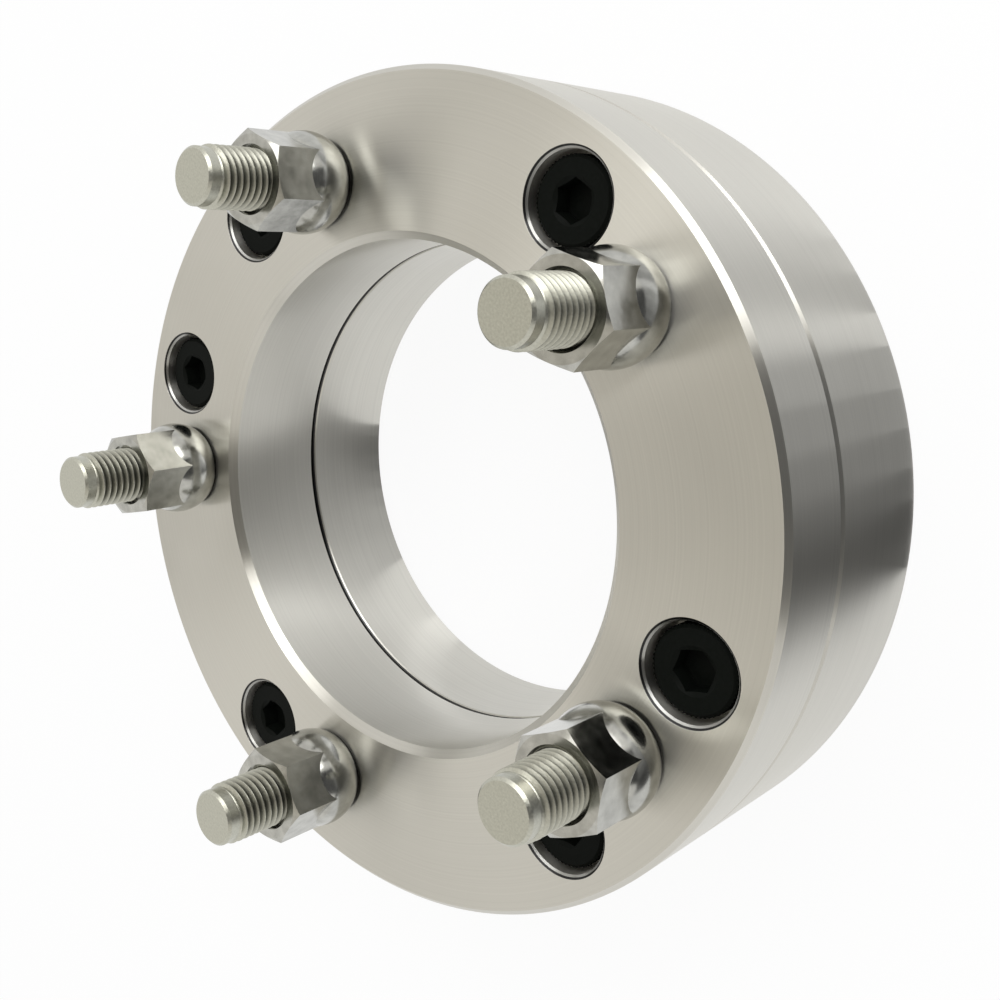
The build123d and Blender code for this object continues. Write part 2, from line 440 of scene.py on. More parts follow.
# %% [markdown]
# ## The wheel studs
#
# A stud is pressed in from behind: a flat head, a knurled shank that grips the ring, a rolled M12
# thread and a smooth point. Stacked rings could pass for a thread from afar, but this one is the part
# that everybody looks at, so it is a true helix. One turn of its zigzag profile is drawn and swept by
# the Screw modifier, and neighbouring turns are merged.

# %% Draw one turn of the thread
thread_radius = 6.0
thread_pitch = 1.5
thread_angle = 60.0
crest_flat = thread_pitch / 8
crest_round = 0.04
thread_depth = 0.92
flank = thread_depth * math.tan(math.radians(thread_angle / 2))
root_flat = thread_pitch - crest_flat - 2 * flank
root_radius = thread_radius - thread_depth
point_length = 2.6
knurl_length = 11.0
knurl_top = stud_seat + knurl_length
thread_overlap = 1.0  # of the thread and the knurl, so that no gap shows
thread_low = knurl_top - thread_overlap
thread_end = stud_top - point_length
spare_turns = 2.5  # swept past each end and cut off again
start = thread_low - spare_turns * thread_pitch
thread = draw(
    "thread",
    section(
        [
            (root_radius, start),
            (root_radius, start + root_flat / 2),
            (thread_radius - crest_round, start + root_flat / 2 + flank),
            (thread_radius, start + root_flat / 2 + flank + crest_flat / 2),
            (thread_radius - crest_round, start + root_flat / 2 + flank + crest_flat),
            (root_radius, start + thread_pitch - root_flat / 2),
            (root_radius, start + thread_pitch),
        ]
    ),
)
bpy.ops.object.mode_set(mode="OBJECT")
print(f"thread runs from {thread_low:.2f} to {thread_end:.2f} mm up")

# %% Sweep it into a helix
thread_steps = 64
turns = math.ceil((thread_end - thread_low) / thread_pitch + 2 * spare_turns)
sweep = thread.modifiers.new("sweep", "SCREW")
sweep.axis = "Z"
sweep.angle = math.tau
sweep.screw_offset = thread_pitch * MM
sweep.iterations = turns
sweep.steps = thread_steps
sweep.render_steps = thread_steps
only(thread)
bpy.ops.object.modifier_apply(modifier=sweep.name)
edit(thread)
close_up(thread)
print("thread swept in", turns, "turns with", len(thread.data.polygons), "faces")

# %% Cut both ends of the thread off level
level_tolerance = 0.0001 * MM


def cut_flat(piece, height, keep_below):
    """Cuts a piece off level at a height and closes the cut."""
    edit(piece)
    bpy.ops.mesh.select_all(action="SELECT")
    bpy.ops.mesh.bisect(
        plane_co=(0, 0, height * MM),
        plane_no=(0, 0, 1),
        use_fill=True,
        clear_outer=keep_below,
        clear_inner=not keep_below,
        threshold=level_tolerance,
    )
    bpy.ops.object.mode_set(mode="OBJECT")


cut_flat(thread, thread_low, keep_below=False)
cut_flat(thread, thread_end, keep_below=True)
edit(thread)
close_up(thread)
print("thread cut to length has", len(thread.data.polygons), "faces")

# %% Trim the thread's last crest and add the core
point_radius = 5.5
end_chamfer = 0.5
core_gap = 0.05  # the core stays this far inside the thread's roots
core_step = 0.3
neck_height = thread_end - thread_pitch / 2
trim = turn(
    "trim",
    [
        (0, thread_low - over),
        (thread_radius + over, thread_low - over),
        (thread_radius + over, thread_end - over - (thread_radius - point_radius)),
        (point_radius, thread_end),
        (0, thread_end),
    ],
    thread_steps,
)
combine(thread, trim, "INTERSECT")
core = turn(
    "core",
    [
        (0, stud_low),
        (stud_head_radius - end_chamfer, stud_low),
        (stud_head_radius, stud_low + end_chamfer),
        (stud_head_radius, stud_seat),
        (root_radius - core_gap, stud_seat),
        (root_radius - core_gap, neck_height),
        (point_radius, neck_height + core_step),
        (point_radius, stud_top - end_chamfer),
        (point_radius - end_chamfer, stud_top),
        (0, stud_top),
    ],
    thread_steps,
)
combine(thread, core, "UNION")
print("thread on its core has", len(thread.data.polygons), "faces")

# %% Knurl the shank
knurl_teeth = 30
knurl_depth = 0.35
knurl_overlap = 0.5


def prism(name, sides, radius, low, high, turned=0.0):
    """An upright prism at the axis, with its corners at this radius."""
    bpy.ops.object.select_all(action="DESELECT")
    bpy.ops.mesh.primitive_cylinder_add(
        vertices=sides,
        radius=radius * MM,
        depth=(high - low) * MM,
        location=(0, 0, (low + high) / 2 * MM),
        rotation=(0, 0, math.radians(turned)),
    )
    piece = bpy.context.object
    piece.name = name
    bpy.ops.object.transform_apply(location=True, rotation=True, scale=True)
    return piece


def toothed(name, radius, depth, teeth, low, high):
    """A cylinder with V-shaped teeth: every second upright edge is scaled inwards."""
    piece = prism(name, 2 * teeth, radius, low, high)
    edit(piece)
    mesh = bmesh.from_edit_mesh(piece.data)
    for corner in mesh.verts:
        place = math.atan2(corner.co.y, corner.co.x) / math.tau * 2 * teeth
        corner.select_set(round(place) % 2 == 1)
    mesh.select_flush_mode()
    bmesh.update_edit_mesh(piece.data)
    shrink = (radius - depth) / radius
    bpy.ops.transform.resize(value=(shrink, shrink, 1), center_override=(0, 0, 0))
    return close_up(piece)


shank = toothed("shank", knurl_radius, knurl_depth, knurl_teeth, stud_seat - knurl_overlap, knurl_top)
stud = combine(thread, shank, "UNION")
print("knurled stud has", len(stud.data.polygons), "faces")

# %% Mark how high each vertex stands in the thread
# The finish of the studs reads this mark to paint shade into the grooves of a thread, so they come out
# darker than its crests. The last turns are left unmarked, because their crests are trimmed.
trimmed_length = 2 * thread_depth
mark_name = "thread_rise"
rise = stud.data.attributes.new(mark_name, "FLOAT", "POINT")
for corner, mark in zip(stud.data.vertices, rise.data):
    radius, height = corner.co.xy.length / MM, corner.co.z / MM
    in_thread = knurl_top < height < thread_end - trimmed_length
    share = (radius - root_radius) / thread_depth
    mark.value = min(max(share, 0.0), 1.0) if in_thread else 1.0
print("thread marked on", len(rise.data), "vertices")

# %% Put a stud at each place
for node, spot in zip(stud_nodes, stud_spots):
    piece = copy_to(stud, node.replace("wheel_", "threaded_"), spot)
    finish_piece(piece, [node], "zinc_plated_stud", sharp=35)
bpy.data.objects.remove(stud)

# %% [markdown]
# ## The lug nuts
#
# These are open nuts: a hexagon with a turned chamfer in front, a ball-shaped collar and a seat cone
# that centres the wheel. A bevel of the hexagon's front edges would be straight. On the real nut the
# chamfer is turned, so its edges are curved, and we get them in the same way: a turned envelope trims a
# hexagonal prism. The turned collar is joined to it, and each nut stands at its own angle.

# %% Model the hexagon at the axis
hexagon_turn = 30.0  # degrees, so that one corner points along X
across_flats = 17.0
nut_corner_radius = across_flats / math.sqrt(3)
nut_chamfer_height = 0.75
nut_chamfer_angle = 30.0
nut_chamfer_slope = math.tan(math.radians(nut_chamfer_angle))
nut_front_radius = nut_corner_radius - nut_chamfer_height / nut_chamfer_slope
collar_middle = wheel_face + collar_height
nut_steps = 120

nut = prism("nut", 6, nut_corner_radius, collar_middle, nut_top + over, turned=hexagon_turn)
envelope = turn(
    "envelope",
    [
        (0, collar_middle - over),
        (nut_corner_radius + over, collar_middle - over),
        (nut_corner_radius + over, nut_top - nut_chamfer_height - over * nut_chamfer_slope),
        (nut_front_radius, nut_top),
        (0, nut_top),
    ],
    nut_steps,
)
combine(nut, envelope, "INTERSECT")
print(f"hexagon is {nut_corner_radius:.2f} mm out to its corners")

# %% Join the ball-shaped collar
nut_thread_clearance = 0.1
nut_thread_radius = thread_radius + nut_thread_clearance
nut_mouth_chamfer = 0.6
nut_mouth_radius = nut_thread_radius + nut_mouth_chamfer
nut_tip_width = 0.4
nut_tip_radius = nut_mouth_radius + nut_tip_width
collar_inset = 0.3  # the ball ends this far inside the flats
arc_low = -math.asin((collar_height - rim_gap) / collar_arc)
arc_high = math.acos((across_flats / 2 - collar_axis - collar_inset) / collar_arc)
arc_parts = 24
arc_angles = [arc_low + (arc_high - arc_low) * part / arc_parts for part in range(arc_parts + 1)]
collar_arc_points = [
    (collar_axis + collar_arc * math.cos(angle), collar_middle + collar_arc * math.sin(angle))
    for angle in arc_angles
]
collar = turn(
    "collar",
    [(0, nut_low), (nut_tip_radius, nut_low)] + collar_arc_points + [(0, collar_arc_points[-1][1])],
    nut_steps,
)
combine(nut, collar, "UNION")
print(f"collar drawn in {arc_parts} parts, with its tip {nut_low:.2f} mm up")

# %% Bore the nut and put one on each stud
nut_turns = [56.7, 6.5, 48.0, 10.2, 40.6]
bore = turn(
    "bore",
    [
        (0, nut_low - over),
        (nut_mouth_radius + over, nut_low - over),
        (nut_thread_radius, nut_low + nut_mouth_chamfer),
        (nut_thread_radius, nut_top - nut_mouth_chamfer),
        (nut_mouth_radius + over, nut_top + over),
        (0, nut_top + over),
    ],
    nut_steps,
)
combine(nut, bore, "DIFFERENCE")
for node, spot, turned in zip(nut_nodes, stud_spots, nut_turns):
    outward = math.degrees(math.atan2(spot[1], spot[0]))
    piece = copy_to(nut, node.replace("lug_", "open_"), spot, outward + turned)
    finish_piece(piece, [node], "bright_nut", sharp=22)
bpy.data.objects.remove(nut)

# %% [markdown]
# ## The clamp screws
#
# The black screws have a low round head with a fine knurl on its side and a hexagon socket. One outline
# could give the whole head, but a knurl isn't round. So the screw is turned a little too thin at the
# head, and a toothed cylinder is joined round it. The socket is cut with a prism, and a flat cone
# chamfers its mouth.

# %% Turn one screw at the axis
head_radius = 8.0
head_chamfer = 0.5
head_teeth = 60
head_tooth_depth = 0.2
head_root_depth = 1.5 * head_tooth_depth  # the knurl's own roots lie inside the turned head
head_top = screw_seat + head_height
screw_end_chamfer = 1.0
screw = turn(
    "screw",
    [
        (0, screw_low),
        (screw_radius - screw_end_chamfer, screw_low),
        (screw_radius, screw_low + screw_end_chamfer),
        (screw_radius, screw_seat),
        (head_radius - head_tooth_depth, screw_seat),
        (head_radius - head_tooth_depth, head_top - head_chamfer),
        (head_radius - head_tooth_depth - head_chamfer, head_top),
        (0, head_top),
    ],
    hole_steps,
)
knurl = toothed("knurl", head_radius, head_root_depth, head_teeth, screw_seat, head_top - head_chamfer)
combine(screw, knurl, "UNION")
print(f"screw runs from {screw_low:.2f} to {head_top:.2f} mm up")

# %% Cut the socket and put a screw in each recess
socket_across_flats = 7.0
socket_corner_radius = socket_across_flats / math.sqrt(3)
socket_depth = 4.2
socket_mouth = 0.3
socket_mouth_angle = 30.0
socket_mouth_slope = math.tan(math.radians(socket_mouth_angle))
socket_turns = [45.0, 0.0, 0.0, 20.0, 19.5, 33.0]
socket_floor = head_top - socket_depth
socket = prism("socket", 6, socket_corner_radius, socket_floor, head_top + over, turned=hexagon_turn)
combine(screw, socket, "DIFFERENCE")
mouth_radius = socket_corner_radius + socket_mouth
mouth = turn(
    "mouth",
    [
        (0, head_top - mouth_radius * socket_mouth_slope),
        (mouth_radius + over / socket_mouth_slope, head_top + over),
        (0, head_top + over),
    ],
    hole_steps,
)
combine(screw, mouth, "DIFFERENCE")
for node, spot, turned in zip(screw_nodes, screw_spots, socket_turns):
    piece = copy_to(screw, node.replace("clamp_", "black_"), spot, turned)
    finish_piece(piece, [node], "black_screw")
bpy.data.objects.remove(screw)

# %% [markdown]
# ## Patterns for the finishes
#
# A cutting tool leaves fine grooves that run round the axis on every face it cuts. They could be
# painted in a picture, but a picture would have to be wrapped on every wall. Noise that is read by
# distance from the axis and by height fits all of them at once. Handling leaves faint smudges, which
# change the roughness. Narrow places get painted shade: a mask of height and distance from the axis
# finds them, and the finish paints them nearly black. Each of the three is a node group, which a
# finish places with its own values.


# %% Node group: turning grooves
def new_group(name, inputs, outputs):
    """Starts a shader node group with float inputs and outputs."""
    group = bpy.data.node_groups.new(name, "ShaderNodeTree")
    for title, value in inputs:
        entry = group.interface.new_socket(title, in_out="INPUT", socket_type="NodeSocketFloat")
        entry.default_value = value
    for title in outputs:
        group.interface.new_socket(title, in_out="OUTPUT", socket_type="NodeSocketFloat")
    return group, group.nodes.new("NodeGroupInput"), group.nodes.new("NodeGroupOutput")


grooves, ins, outs = new_group("turning_grooves", [("Grooves per metre", 2500.0)], ["Height", "Fine"])
print(grooves.name, "gives", [entry.name for entry in outs.inputs if entry.name])


# %% Find the place of a point on the lathe
def math_node(tree, how, first, second=0.0):
    """Adds a Math node whose inputs are sockets or numbers, and returns its output."""
    node = tree.nodes.new("ShaderNodeMath")
    node.operation = how
    for slot, value in enumerate((first, second)):
        if isinstance(value, (int, float)):
            node.inputs[slot].default_value = value
        else:
            tree.links.new(value, node.inputs[slot])
    return node.outputs[0]


def lathe_place(tree):
    """Distance from the axis and height of each point of a piece, in metres."""
    place = tree.nodes.new("ShaderNodeTexCoord")
    split = tree.nodes.new("ShaderNodeSeparateXYZ")
    tree.links.new(place.outputs["Object"], split.inputs[0])
    across = math_node(tree, "MULTIPLY", split.outputs["X"], split.outputs["X"])
    along = math_node(tree, "MULTIPLY", split.outputs["Y"], split.outputs["Y"])
    radius = math_node(tree, "SQRT", math_node(tree, "ADD", across, along))
    return radius, split.outputs["Z"]


radius, height = lathe_place(grooves)
print("distance and height take", len(grooves.nodes), "nodes")


# %% Noise that runs along the grooves
def noise(tree, where, scale, detail):
    """Adds a noise texture that is read at a place, and returns its value."""
    node = tree.nodes.new("ShaderNodeTexNoise")
    node.inputs["Detail"].default_value = detail
    tree.links.new(where, node.inputs["Vector"])
    if isinstance(scale, float):
        node.inputs["Scale"].default_value = scale
    else:
        tree.links.new(scale, node.inputs["Scale"])
    return node.outputs[0]


ring_place = grooves.nodes.new("ShaderNodeCombineXYZ")
grooves.links.new(math_node(grooves, "MULTIPLY", radius, ins.outputs[0]), ring_place.inputs[0])
grooves.links.new(math_node(grooves, "MULTIPLY", height, ins.outputs[0]), ring_place.inputs[1])
coarse = noise(grooves, ring_place.outputs[0], scale=0.35, detail=2.0)
fine = noise(grooves, ring_place.outputs[0], scale=1.0, detail=3.0)
grooves.links.new(coarse, outs.inputs["Height"])
grooves.links.new(fine, outs.inputs["Fine"])
print(grooves.name, "is made of", len(grooves.nodes), "nodes")

# %% Node group: smudges
smudges, ins, outs = new_group(
    "smudges",
    [("Patches per metre", 40.0), ("Low", 0.3), ("High", 0.4)],
    ["Roughness", "Patch"],
)
place = smudges.nodes.new("ShaderNodeTexCoord")
cloud = noise(smudges, place.outputs["Object"], scale=ins.outputs[0], detail=4.0)
spread = math_node(smudges, "SUBTRACT", ins.outputs[2], ins.outputs[1])
share = math_node(smudges, "MULTIPLY", cloud, spread)
smudges.links.new(math_node(smudges, "ADD", ins.outputs[1], share), outs.inputs["Roughness"])
smudges.links.new(cloud, outs.inputs["Patch"])
print(smudges.name, "is made of", len(smudges.nodes), "nodes")

# %% Node group: a band of painted shade
# The limits are in metres, and as they stand here they take in the whole object.
painted_shade_band, ins, outs = new_group(
    "painted_shade_band",
    [("Lowest", -1.0), ("Highest", 1.0), ("Innermost", -1.0), ("Outermost", 1.0)],
    ["Share"],
)
radius, height = lathe_place(painted_shade_band)
above = math_node(painted_shade_band, "GREATER_THAN", height, ins.outputs[0])
below = math_node(painted_shade_band, "LESS_THAN", height, ins.outputs[1])
outside = math_node(painted_shade_band, "GREATER_THAN", radius, ins.outputs[2])
inside = math_node(painted_shade_band, "LESS_THAN", radius, ins.outputs[3])
in_height = math_node(painted_shade_band, "MULTIPLY", above, below)
in_radius = math_node(painted_shade_band, "MULTIPLY", outside, inside)
painted_shade_band.links.new(math_node(painted_shade_band, "MULTIPLY", in_height, in_radius), outs.inputs["Share"])
print(painted_shade_band.name, "is made of", len(painted_shade_band.nodes), "nodes")

# %% [markdown]
# ## Turned aluminium
#
# The rings are bare metal. The grooves are far too fine to model, yet they smear every reflection
# across themselves. The shader's anisotropy does that smearing, once its tangent is told to run round
# the axis. Tone and bump come from the groove pattern, and painted shade darkens the joint in the bore
# and the mouths of the screw recesses.


# %% Start the aluminium
def new_finish(name):
    """Starts a material and returns it with its tree and shader."""
    finish = bpy.data.materials.new(name)
    finish.use_nodes = True
    return finish, finish.node_tree, finish.node_tree.nodes["Principled BSDF"]


aluminium, tree, shader = new_finish("bare_aluminium")
shader.inputs["Metallic"].default_value = 1.0
shader.inputs["Anisotropic"].default_value = 0.95
shader.inputs["Anisotropic Rotation"].default_value = 0.25
direction = tree.nodes.new("ShaderNodeTangent")
direction.direction_type = "RADIAL"
direction.axis = "Z"
tree.links.new(direction.outputs[0], shader.inputs["Tangent"])
print(aluminium.name, "smears reflections across its grooves")


# %% Grooves and smudges on the aluminium
def place_group(tree, group, **values):
    """Places a node group in a material and sets its inputs."""
    node = tree.nodes.new("ShaderNodeGroup")
    node.node_tree = group
    for title, value in values.items():
        node.inputs[title.replace("_", " ")].default_value = value
    return node


def mix_colours(tree, share, first, second):
    """Mixes two colours by a share that changes over the surface."""
    node = tree.nodes.new("ShaderNodeMix")
    node.data_type = "RGBA"
    tree.links.new(share, node.inputs["Factor"])
    for slot, value in (("A", first), ("B", second)):
        if isinstance(value, tuple):
            node.inputs[slot].default_value = (*value, 1)
        else:
            tree.links.new(value, node.inputs[slot])
    return node.outputs["Result"]


def bump(tree, shader, height, depth, strength):
    """Feeds a height to the shader's normal. The depth is in millimetres."""
    node = tree.nodes.new("ShaderNodeBump")
    node.inputs["Distance"].default_value = depth * MM
    node.inputs["Strength"].default_value = strength
    tree.links.new(height, node.inputs["Height"])
    tree.links.new(node.outputs["Normal"], shader.inputs["Normal"])


marks = place_group(tree, grooves, Grooves_per_metre=2500.0)
patches = place_group(tree, smudges, Patches_per_metre=45.0, Low=0.26, High=0.36)
tree.links.new(patches.outputs["Roughness"], shader.inputs["Roughness"])
colour = mix_colours(tree, marks.outputs["Fine"], (0.56, 0.55, 0.51), (0.68, 0.67, 0.62))
bump(tree, shader, marks.outputs["Height"], depth=0.004, strength=0.6)
print(aluminium.name, "has", len(tree.nodes), "nodes before the painted shade")

# %% Painted shade on the aluminium
joint_painted_shade = (0.08, 0.08, 0.08)
joint_lift = 0.25
joint_depth = 4.0
mouth_painted_shade = (0.42, 0.42, 0.40)
mouth_edge_painted_shade = (0.04, 0.04, 0.04)
mouth_line = 0.35
face_skin = 0.02  # the painted shade stops this far below the wheel face


def paint_shade(tree, colour, tone, **limits):
    """Darkens a colour with painted shade inside one band, whose limits are in millimetres."""
    band = place_group(tree, painted_shade_band, **{title: value * MM for title, value in limits.items()})
    return mix_colours(tree, band.outputs["Share"], colour, tone)


# Painted shade: the joint between the rings in the bore is painted nearly black.
colour = paint_shade(
    tree,
    colour,
    joint_painted_shade,
    Lowest=recess_floor - bore_seam_chamfer + joint_lift,
    Highest=boss_end + bore_seam_front_chamfer,
    Outermost=bore_radius + joint_depth,
)
# Painted shade: the chamfered mouths of the holes in the face are painted darker, and nearly black along
# their outer edge.
mouths = {
    "Highest": wheel_face - face_skin,
    "Innermost": bore_radius + face_bore_chamfer,
    "Outermost": outer_radius - face_rim_chamfer,
}
colour = paint_shade(tree, colour, mouth_painted_shade, Lowest=wheel_face - recess_chamfer, **mouths)
colour = paint_shade(tree, colour, mouth_edge_painted_shade, Lowest=wheel_face - mouth_line, **mouths)
tree.links.new(colour, shader.inputs["Base Color"])
print(aluminium.name, "has", len(tree.nodes), "nodes with the painted shade")

# %% [markdown]
# ## Zinc and black oxide
#
# The nuts are bright zinc, the studs duller zinc, and the screws are blackened. Each of these is a thin
# skin that came out uneven, so its tone and its roughness change from patch to patch. One function
# starts all three, with small patches on the grainy studs and large ones on the nuts. Painted shadow
# darkens the feet of the nuts, and the mark that is stored on the studs paints shade into the grooves
# of their threads.

# %% Bright zinc for the nuts
foot_painted_shadow = (0.03, 0.03, 0.03)
foot_line = 0.1


def patchy_finish(name, metallic, per_metre, low, high, dark, light):
    """Starts a finish whose tone and roughness change from patch to patch."""
    finish, tree, shader = new_finish(name)
    shader.inputs["Metallic"].default_value = metallic
    patches = place_group(tree, smudges, Patches_per_metre=per_metre, Low=low, High=high)
    tree.links.new(patches.outputs["Roughness"], shader.inputs["Roughness"])
    patch = patches.outputs["Patch"]
    return finish, tree, shader, patch, mix_colours(tree, patch, dark, light)


bright_zinc, tree, shader, patch, colour = patchy_finish(
    "bright_zinc",
    metallic=1.0,
    per_metre=350.0,
    low=0.08,
    high=0.30,
    dark=(0.24, 0.24, 0.22),
    light=(0.64, 0.64, 0.60),
)
# Painted shadow: the foot of each nut, up to just above the collar's rim, is painted nearly black.
colour = paint_shade(tree, colour, foot_painted_shadow, Highest=wheel_face + rim_gap + foot_line)
tree.links.new(colour, shader.inputs["Base Color"])
bump(tree, shader, patch, depth=0.05, strength=0.5)
print(bright_zinc.name, "has", len(tree.nodes), "nodes")

# %% Dull zinc for the studs
groove_painted_shade = (0.16, 0.16, 0.14)
dull_zinc, tree, shader, patch, colour = patchy_finish(
    "dull_zinc",
    metallic=1.0,
    per_metre=2500.0,
    low=0.22,
    high=0.45,
    dark=(0.36, 0.36, 0.31),
    light=(0.62, 0.62, 0.54),
)
stored = tree.nodes.new("ShaderNodeAttribute")
stored.attribute_name = mark_name
# Painted shade: by the stored mark, the thread's grooves are painted darker than its crests.
colour = mix_colours(tree, stored.outputs["Fac"], groove_painted_shade, colour)
tree.links.new(colour, shader.inputs["Base Color"])
bump(tree, shader, patch, depth=0.03, strength=0.5)
print(dull_zinc.name, "has", len(tree.nodes), "nodes")

# %% Black oxide for the screws
black_oxide, tree, shader, patch, colour = patchy_finish(
    "black_oxide",
    metallic=0.0,
    per_metre=1500.0,
    low=0.35,
    high=0.6,
    dark=(0.002, 0.003, 0.002),
    light=(0.006, 0.007, 0.006),
)
shader.inputs["Specular IOR Level"].default_value = 0.05
tree.links.new(colour, shader.inputs["Base Color"])
bump(tree, shader, patch, depth=0.03, strength=0.5)
print(black_oxide.name, "has", len(tree.nodes), "nodes")

# %% Give each piece its finish
finishes = {
    "turned_aluminium": aluminium,
    "bright_nut": bright_zinc,
    "zinc_plated_stud": dull_zinc,
    "black_screw": black_oxide,
}
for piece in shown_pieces():
    piece.data.materials.clear()
    piece.data.materials.append(finishes[piece["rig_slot"]])
    print(piece.name, "is", piece.active_material.name)

# %% [markdown]
# ## Camera
#
# The photograph looks down on the wheel face from one side, with the camera rolled almost on its side.
# Its place, direction and lens were found by laying known circles of the ring over the photograph. A
# camera is usually aimed with angles, but a roll is easier to write down as two directions: what lies
# to the right in the picture, and what lies up.

# %% Set up the camera
camera_place = Vector((106.5, 131.9, 221.9)) * MM
view_right = Vector((0.5979, 0.4247, -0.6798))
view_up = Vector((-0.6525, 0.7504, -0.1051))
focal_share = 1.223  # focal length as a share of the sensor's width
camera_data = bpy.data.cameras.new("camera")
camera = bpy.data.objects.new("camera", camera_data)
bpy.context.scene.collection.objects.link(camera)
view_back = view_right.cross(view_up).normalized()
view_up = view_back.cross(view_right).normalized()
turning = Matrix((view_right.normalized(), view_up, view_back)).transposed().to_4x4()
camera.matrix_world = Matrix.Translation(camera_place) @ turning
camera_data.sensor_width = 36.0
camera_data.lens = focal_share * camera_data.sensor_width
camera_data.shift_x = 0.09
camera_data.shift_y = -0.06
camera_data.clip_start = 0.01
bpy.context.scene.camera = camera
bpy.context.scene.view_settings.view_transform = "Standard"
print(f"camera stands {camera_place.length:.3f} m from the origin, with a {camera_data.lens:.1f} mm lens")

# %% [markdown]
# ## Studio
#
# The ring lies on a white floor in soft light, as in a catalogue photograph. The floor's white is mostly
# its own glow, seen by the camera and in mirrored rays, so the lamps can stay weak and the floor still
# keeps the ring's shadow. Metal has no colour of its own to show: it shows what stands around it. In a
# white room it would look like plaster, so mirrored rays see a ceiling that gets warmer and darker
# towards the top. That is the tone of the wheel face and of the nuts' flats.

# %% Floor
floor_width = 8.0  # metres
white_share = 0.92  # of the floor's look that shadows don't reach
bpy.ops.object.select_all(action="DESELECT")
bpy.ops.mesh.primitive_plane_add(size=floor_width, location=(0, 0, 0))
floor = bpy.context.object
floor.name = "floor"


def seen_rays(tree):
    """1 for rays from the camera and for mirrored rays, 0 for the rays that carry light."""
    ray = tree.nodes.new("ShaderNodeLightPath")
    seen = math_node(tree, "ADD", ray.outputs["Is Camera Ray"], ray.outputs["Is Glossy Ray"])
    return math_node(tree, "ADD", seen, ray.outputs["Is Transmission Ray"])


paper, tree, shader = new_finish("white_paper")
shader.inputs["Base Color"].default_value = (0.9, 0.9, 0.9, 1)
shader.inputs["Roughness"].default_value = 0.9
glow = tree.nodes.new("ShaderNodeEmission")
blend = tree.nodes.new("ShaderNodeMixShader")
tree.links.new(math_node(tree, "MULTIPLY", seen_rays(tree), white_share), blend.inputs[0])
tree.links.new(shader.outputs[0], blend.inputs[1])
tree.links.new(glow.outputs[0], blend.inputs[2])
tree.links.new(blend.outputs[0], tree.nodes["Material Output"].inputs[0])
floor.data.materials.append(paper)
print("floor is", floor_width, "m wide")

# %% World
ambient = 0.75  # of full white, as light on the ring
ceiling_tones = [
    (0.55, (1.0, 0.985, 0.96)),
    (0.87, (0.72, 0.68, 0.60)),
    (1.0, (0.46, 0.43, 0.37)),
]
world = bpy.data.worlds.new("studio")
bpy.context.scene.world = world
world.use_nodes = True
tree = world.node_tree
sky = tree.nodes["Background"]
extra = math_node(tree, "MULTIPLY", seen_rays(tree), 1.0 - ambient)
tree.links.new(math_node(tree, "ADD", extra, ambient), sky.inputs["Strength"])
way = tree.nodes.new("ShaderNodeTexCoord")
split = tree.nodes.new("ShaderNodeSeparateXYZ")
tree.links.new(way.outputs["Generated"], split.inputs[0])
ceiling = tree.nodes.new("ShaderNodeValToRGB")
stops = ceiling.color_ramp.elements
while len(stops) < len(ceiling_tones):
    stops.new(0.5)  # the next loop moves it to its place
for stop, (upward, tone) in zip(stops, ceiling_tones):
    stop.position = upward
    stop.color = (*tone, 1)
tree.links.new(split.outputs["Z"], ceiling.inputs[0])
ray = tree.nodes.new("ShaderNodeLightPath")
white = mix_colours(tree, ray.outputs["Is Glossy Ray"], (1.0, 1.0, 1.0), ceiling.outputs[0])
tree.links.new(white, sky.inputs["Color"])
print("mirrored rays see a ceiling of", len(stops), "tones")

# %% [markdown]
# ## Lamps
#
# Two large, weak lamps stand high on the far side of the ring. They draw the white lines along the
# chamfers and the soft glow on the far part of the face. Larger or stronger ones would flatten the
# turning grooves.


# %% Two lamps
def lamp(name, place, size, power):
    """A large square lamp that faces the middle of the object. Place and size are in metres."""
    light = bpy.data.lights.new(name, "AREA")
    light.size = size
    light.energy = power
    holder = bpy.data.objects.new(name, light)
    bpy.context.scene.collection.objects.link(holder)
    holder.location = place
    aim = Vector((0, 0, wheel_face / 2 * MM)) - Vector(place)
    holder.rotation_euler = aim.to_track_quat("-Z", "Y").to_euler()
    print(f"{name} is {size} m wide and stands {aim.length:.2f} m away")


lamp("key_lamp", (-0.03, 0.78, 0.62), size=0.55, power=3.0)
lamp("side_lamp", (-0.36, 0.50, 0.79), size=0.45, power=1.4)

# %% [markdown]
# ## Cards
#
# A photographer lays grey and black cards beside shiny metal, so that its curve shows as bands of tone.
# Each strip of an upright wall mirrors one line of the floor to the camera. We work that line out from
# the way the strip faces, and lay a card along it: dark ones for the rim and the bore, and a few
# brighter than white for the glints in the bore. Only mirrored rays meet the cards, so they throw no
# shadow and leave the floor white. The lamps alone couldn't do this, because a lamp lights all of a wall.


# %% Find what a strip of wall mirrors
def mirrored_line(wall_radius, facing):
    """Foot of the wall that faces this way, and the way in which the camera sees it mirror the floor."""
    facing = math.radians(facing)
    foot = Vector((math.cos(facing), math.sin(facing), 0)) * wall_radius
    seen_from = camera_place / MM - foot
    away = 2 * facing - math.atan2(seen_from.y, seen_from.x)
    return foot, Vector((math.cos(away), math.sin(away), 0))


sample_facing = 45
sample_way = mirrored_line(outer_radius, sample_facing)[1]
sample_angle = math.degrees(math.atan2(sample_way.y, sample_way.x))
print(f"the rim that faces {sample_facing} degrees mirrors the floor along {sample_angle:.1f} degrees")


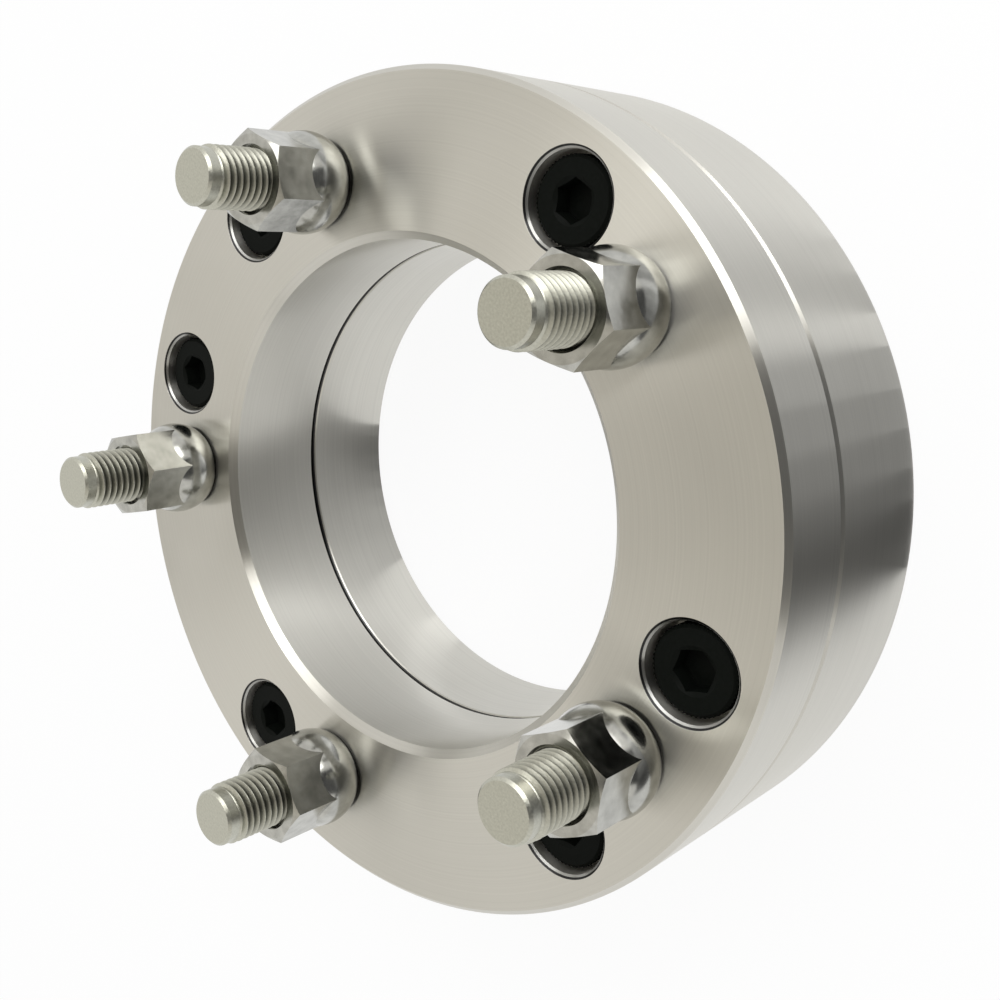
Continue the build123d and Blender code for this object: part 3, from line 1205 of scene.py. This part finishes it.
# %% Cards round the rim
def card(name, corners, tone):
    """A flat card that only mirrored rays meet. Corners are in millimetres."""
    piece = draw(name, corners + corners[:1])
    bpy.ops.mesh.select_all(action="SELECT")
    bpy.ops.mesh.remove_doubles(threshold=merge_distance)
    bpy.ops.mesh.select_all(action="SELECT")
    bpy.ops.mesh.edge_face_add()
    bpy.ops.object.mode_set(mode="OBJECT")
    paint, tree, shader = new_finish(name)
    shader.inputs["Base Color"].default_value = (0, 0, 0, 1)
    shader.inputs["Specular IOR Level"].default_value = 0.0
    shader.inputs["Emission Color"].default_value = (tone, tone, tone, 1)
    shader.inputs["Emission Strength"].default_value = 1.0
    piece.data.materials.append(paint)
    piece.visible_camera = False
    piece.visible_diffuse = False
    piece.visible_transmission = False
    piece.visible_shadow = False


card_gap = 0.5  # from the wall to the cards
card_lift = Vector((0, 0, 0.4))  # from the floor to the cards
far_reach = 1500
# Each row gives the two facings of a strip of wall, in degrees, and the tone that it mirrors.
rim_tones = [
    (29, 33, 0.13),
    (33, 38, 0.10),
    (38, 42, 0.19),
    (42, 47, 0.32),
    (47, 52, 0.44),
    (52, 57.5, 0.58),
    (62, 67.5, 0.56),
    (67.5, 73, 0.76),
]
for number, (first, last, tone) in enumerate(rim_tones, start=1):
    foot, way = mirrored_line(outer_radius + card_gap, first)
    other_foot, other_way = mirrored_line(outer_radius + card_gap, last)
    corners = [foot, foot + way * far_reach, other_foot + other_way * far_reach, other_foot]
    card(f"rim_card_{number}", [corner + card_lift for corner in corners], tone)
print(len(rim_tones), "cards lie round the rim")

# %% Cards in the bore
# The line starts at one wall of the bore and crosses it. Each row gives a strip's two facings, the part
# of the line that the card covers, as shares of its length, and the tone.
bore_wall = card_gap - bore_radius  # negative, because this wall faces the axis
chord_reach = 1.95  # 2 would take the line as far as the other wall
bore_tones = [
    (29.5, 33, 0, 1, 0.26),
    (33, 38, 0, 1, 0.17),
    (38, 43, 0, 1, 0.22),
    (43, 48, 0, 1, 0.34),
    (48, 53, 0, 1, 0.47),
    (53, 60, 0, 1, 0.58),
    (60, 68, 0, 1, 0.62),
    (72, 78, 0.27, 0.75, 1.6),
    (88, 98, 0.02, 0.26, 1.5),
]
for number, (first, last, near, far, tone) in enumerate(bore_tones, start=1):
    near_end, far_end = [], []
    for facing in (first, last):
        foot, way = mirrored_line(bore_wall, facing)
        across = -chord_reach * foot.dot(way) * way
        near_end.append(foot + across * near + card_lift)
        far_end.append(foot + across * far + card_lift)
    card(f"bore_card_{number}", [near_end[0], *far_end, near_end[1]], tone)
print(len(bore_tones), "cards lie in the bore")

# %% A disc and an upright card
# The disc lies under the cards and brightens the rest of the bore's floor. The grooves spread some of
# the mirrored rays upwards out of the bore, and a dark card that stands far away catches those.
disc_tone = 1.05
disc_steps = 48
disc_spots = ring_of_spots(bore_radius - card_gap, disc_steps)
card("bore_disc", [Vector((*spot, 0)) + card_lift / 2 for spot in disc_spots], disc_tone)

upright_tone = 0.1
upright_height = Vector((0, 0, 3000))
upright_facings = (28, 60)
feet = []
for facing in upright_facings:
    foot, way = mirrored_line(bore_wall, facing)
    feet.append(foot + way * far_reach)
card("upright_card", [feet[0], feet[1], feet[1] + upright_height, feet[0] + upright_height], upright_tone)
print(f"upright card is {(feet[1] - feet[0]).length:.0f} mm wide")
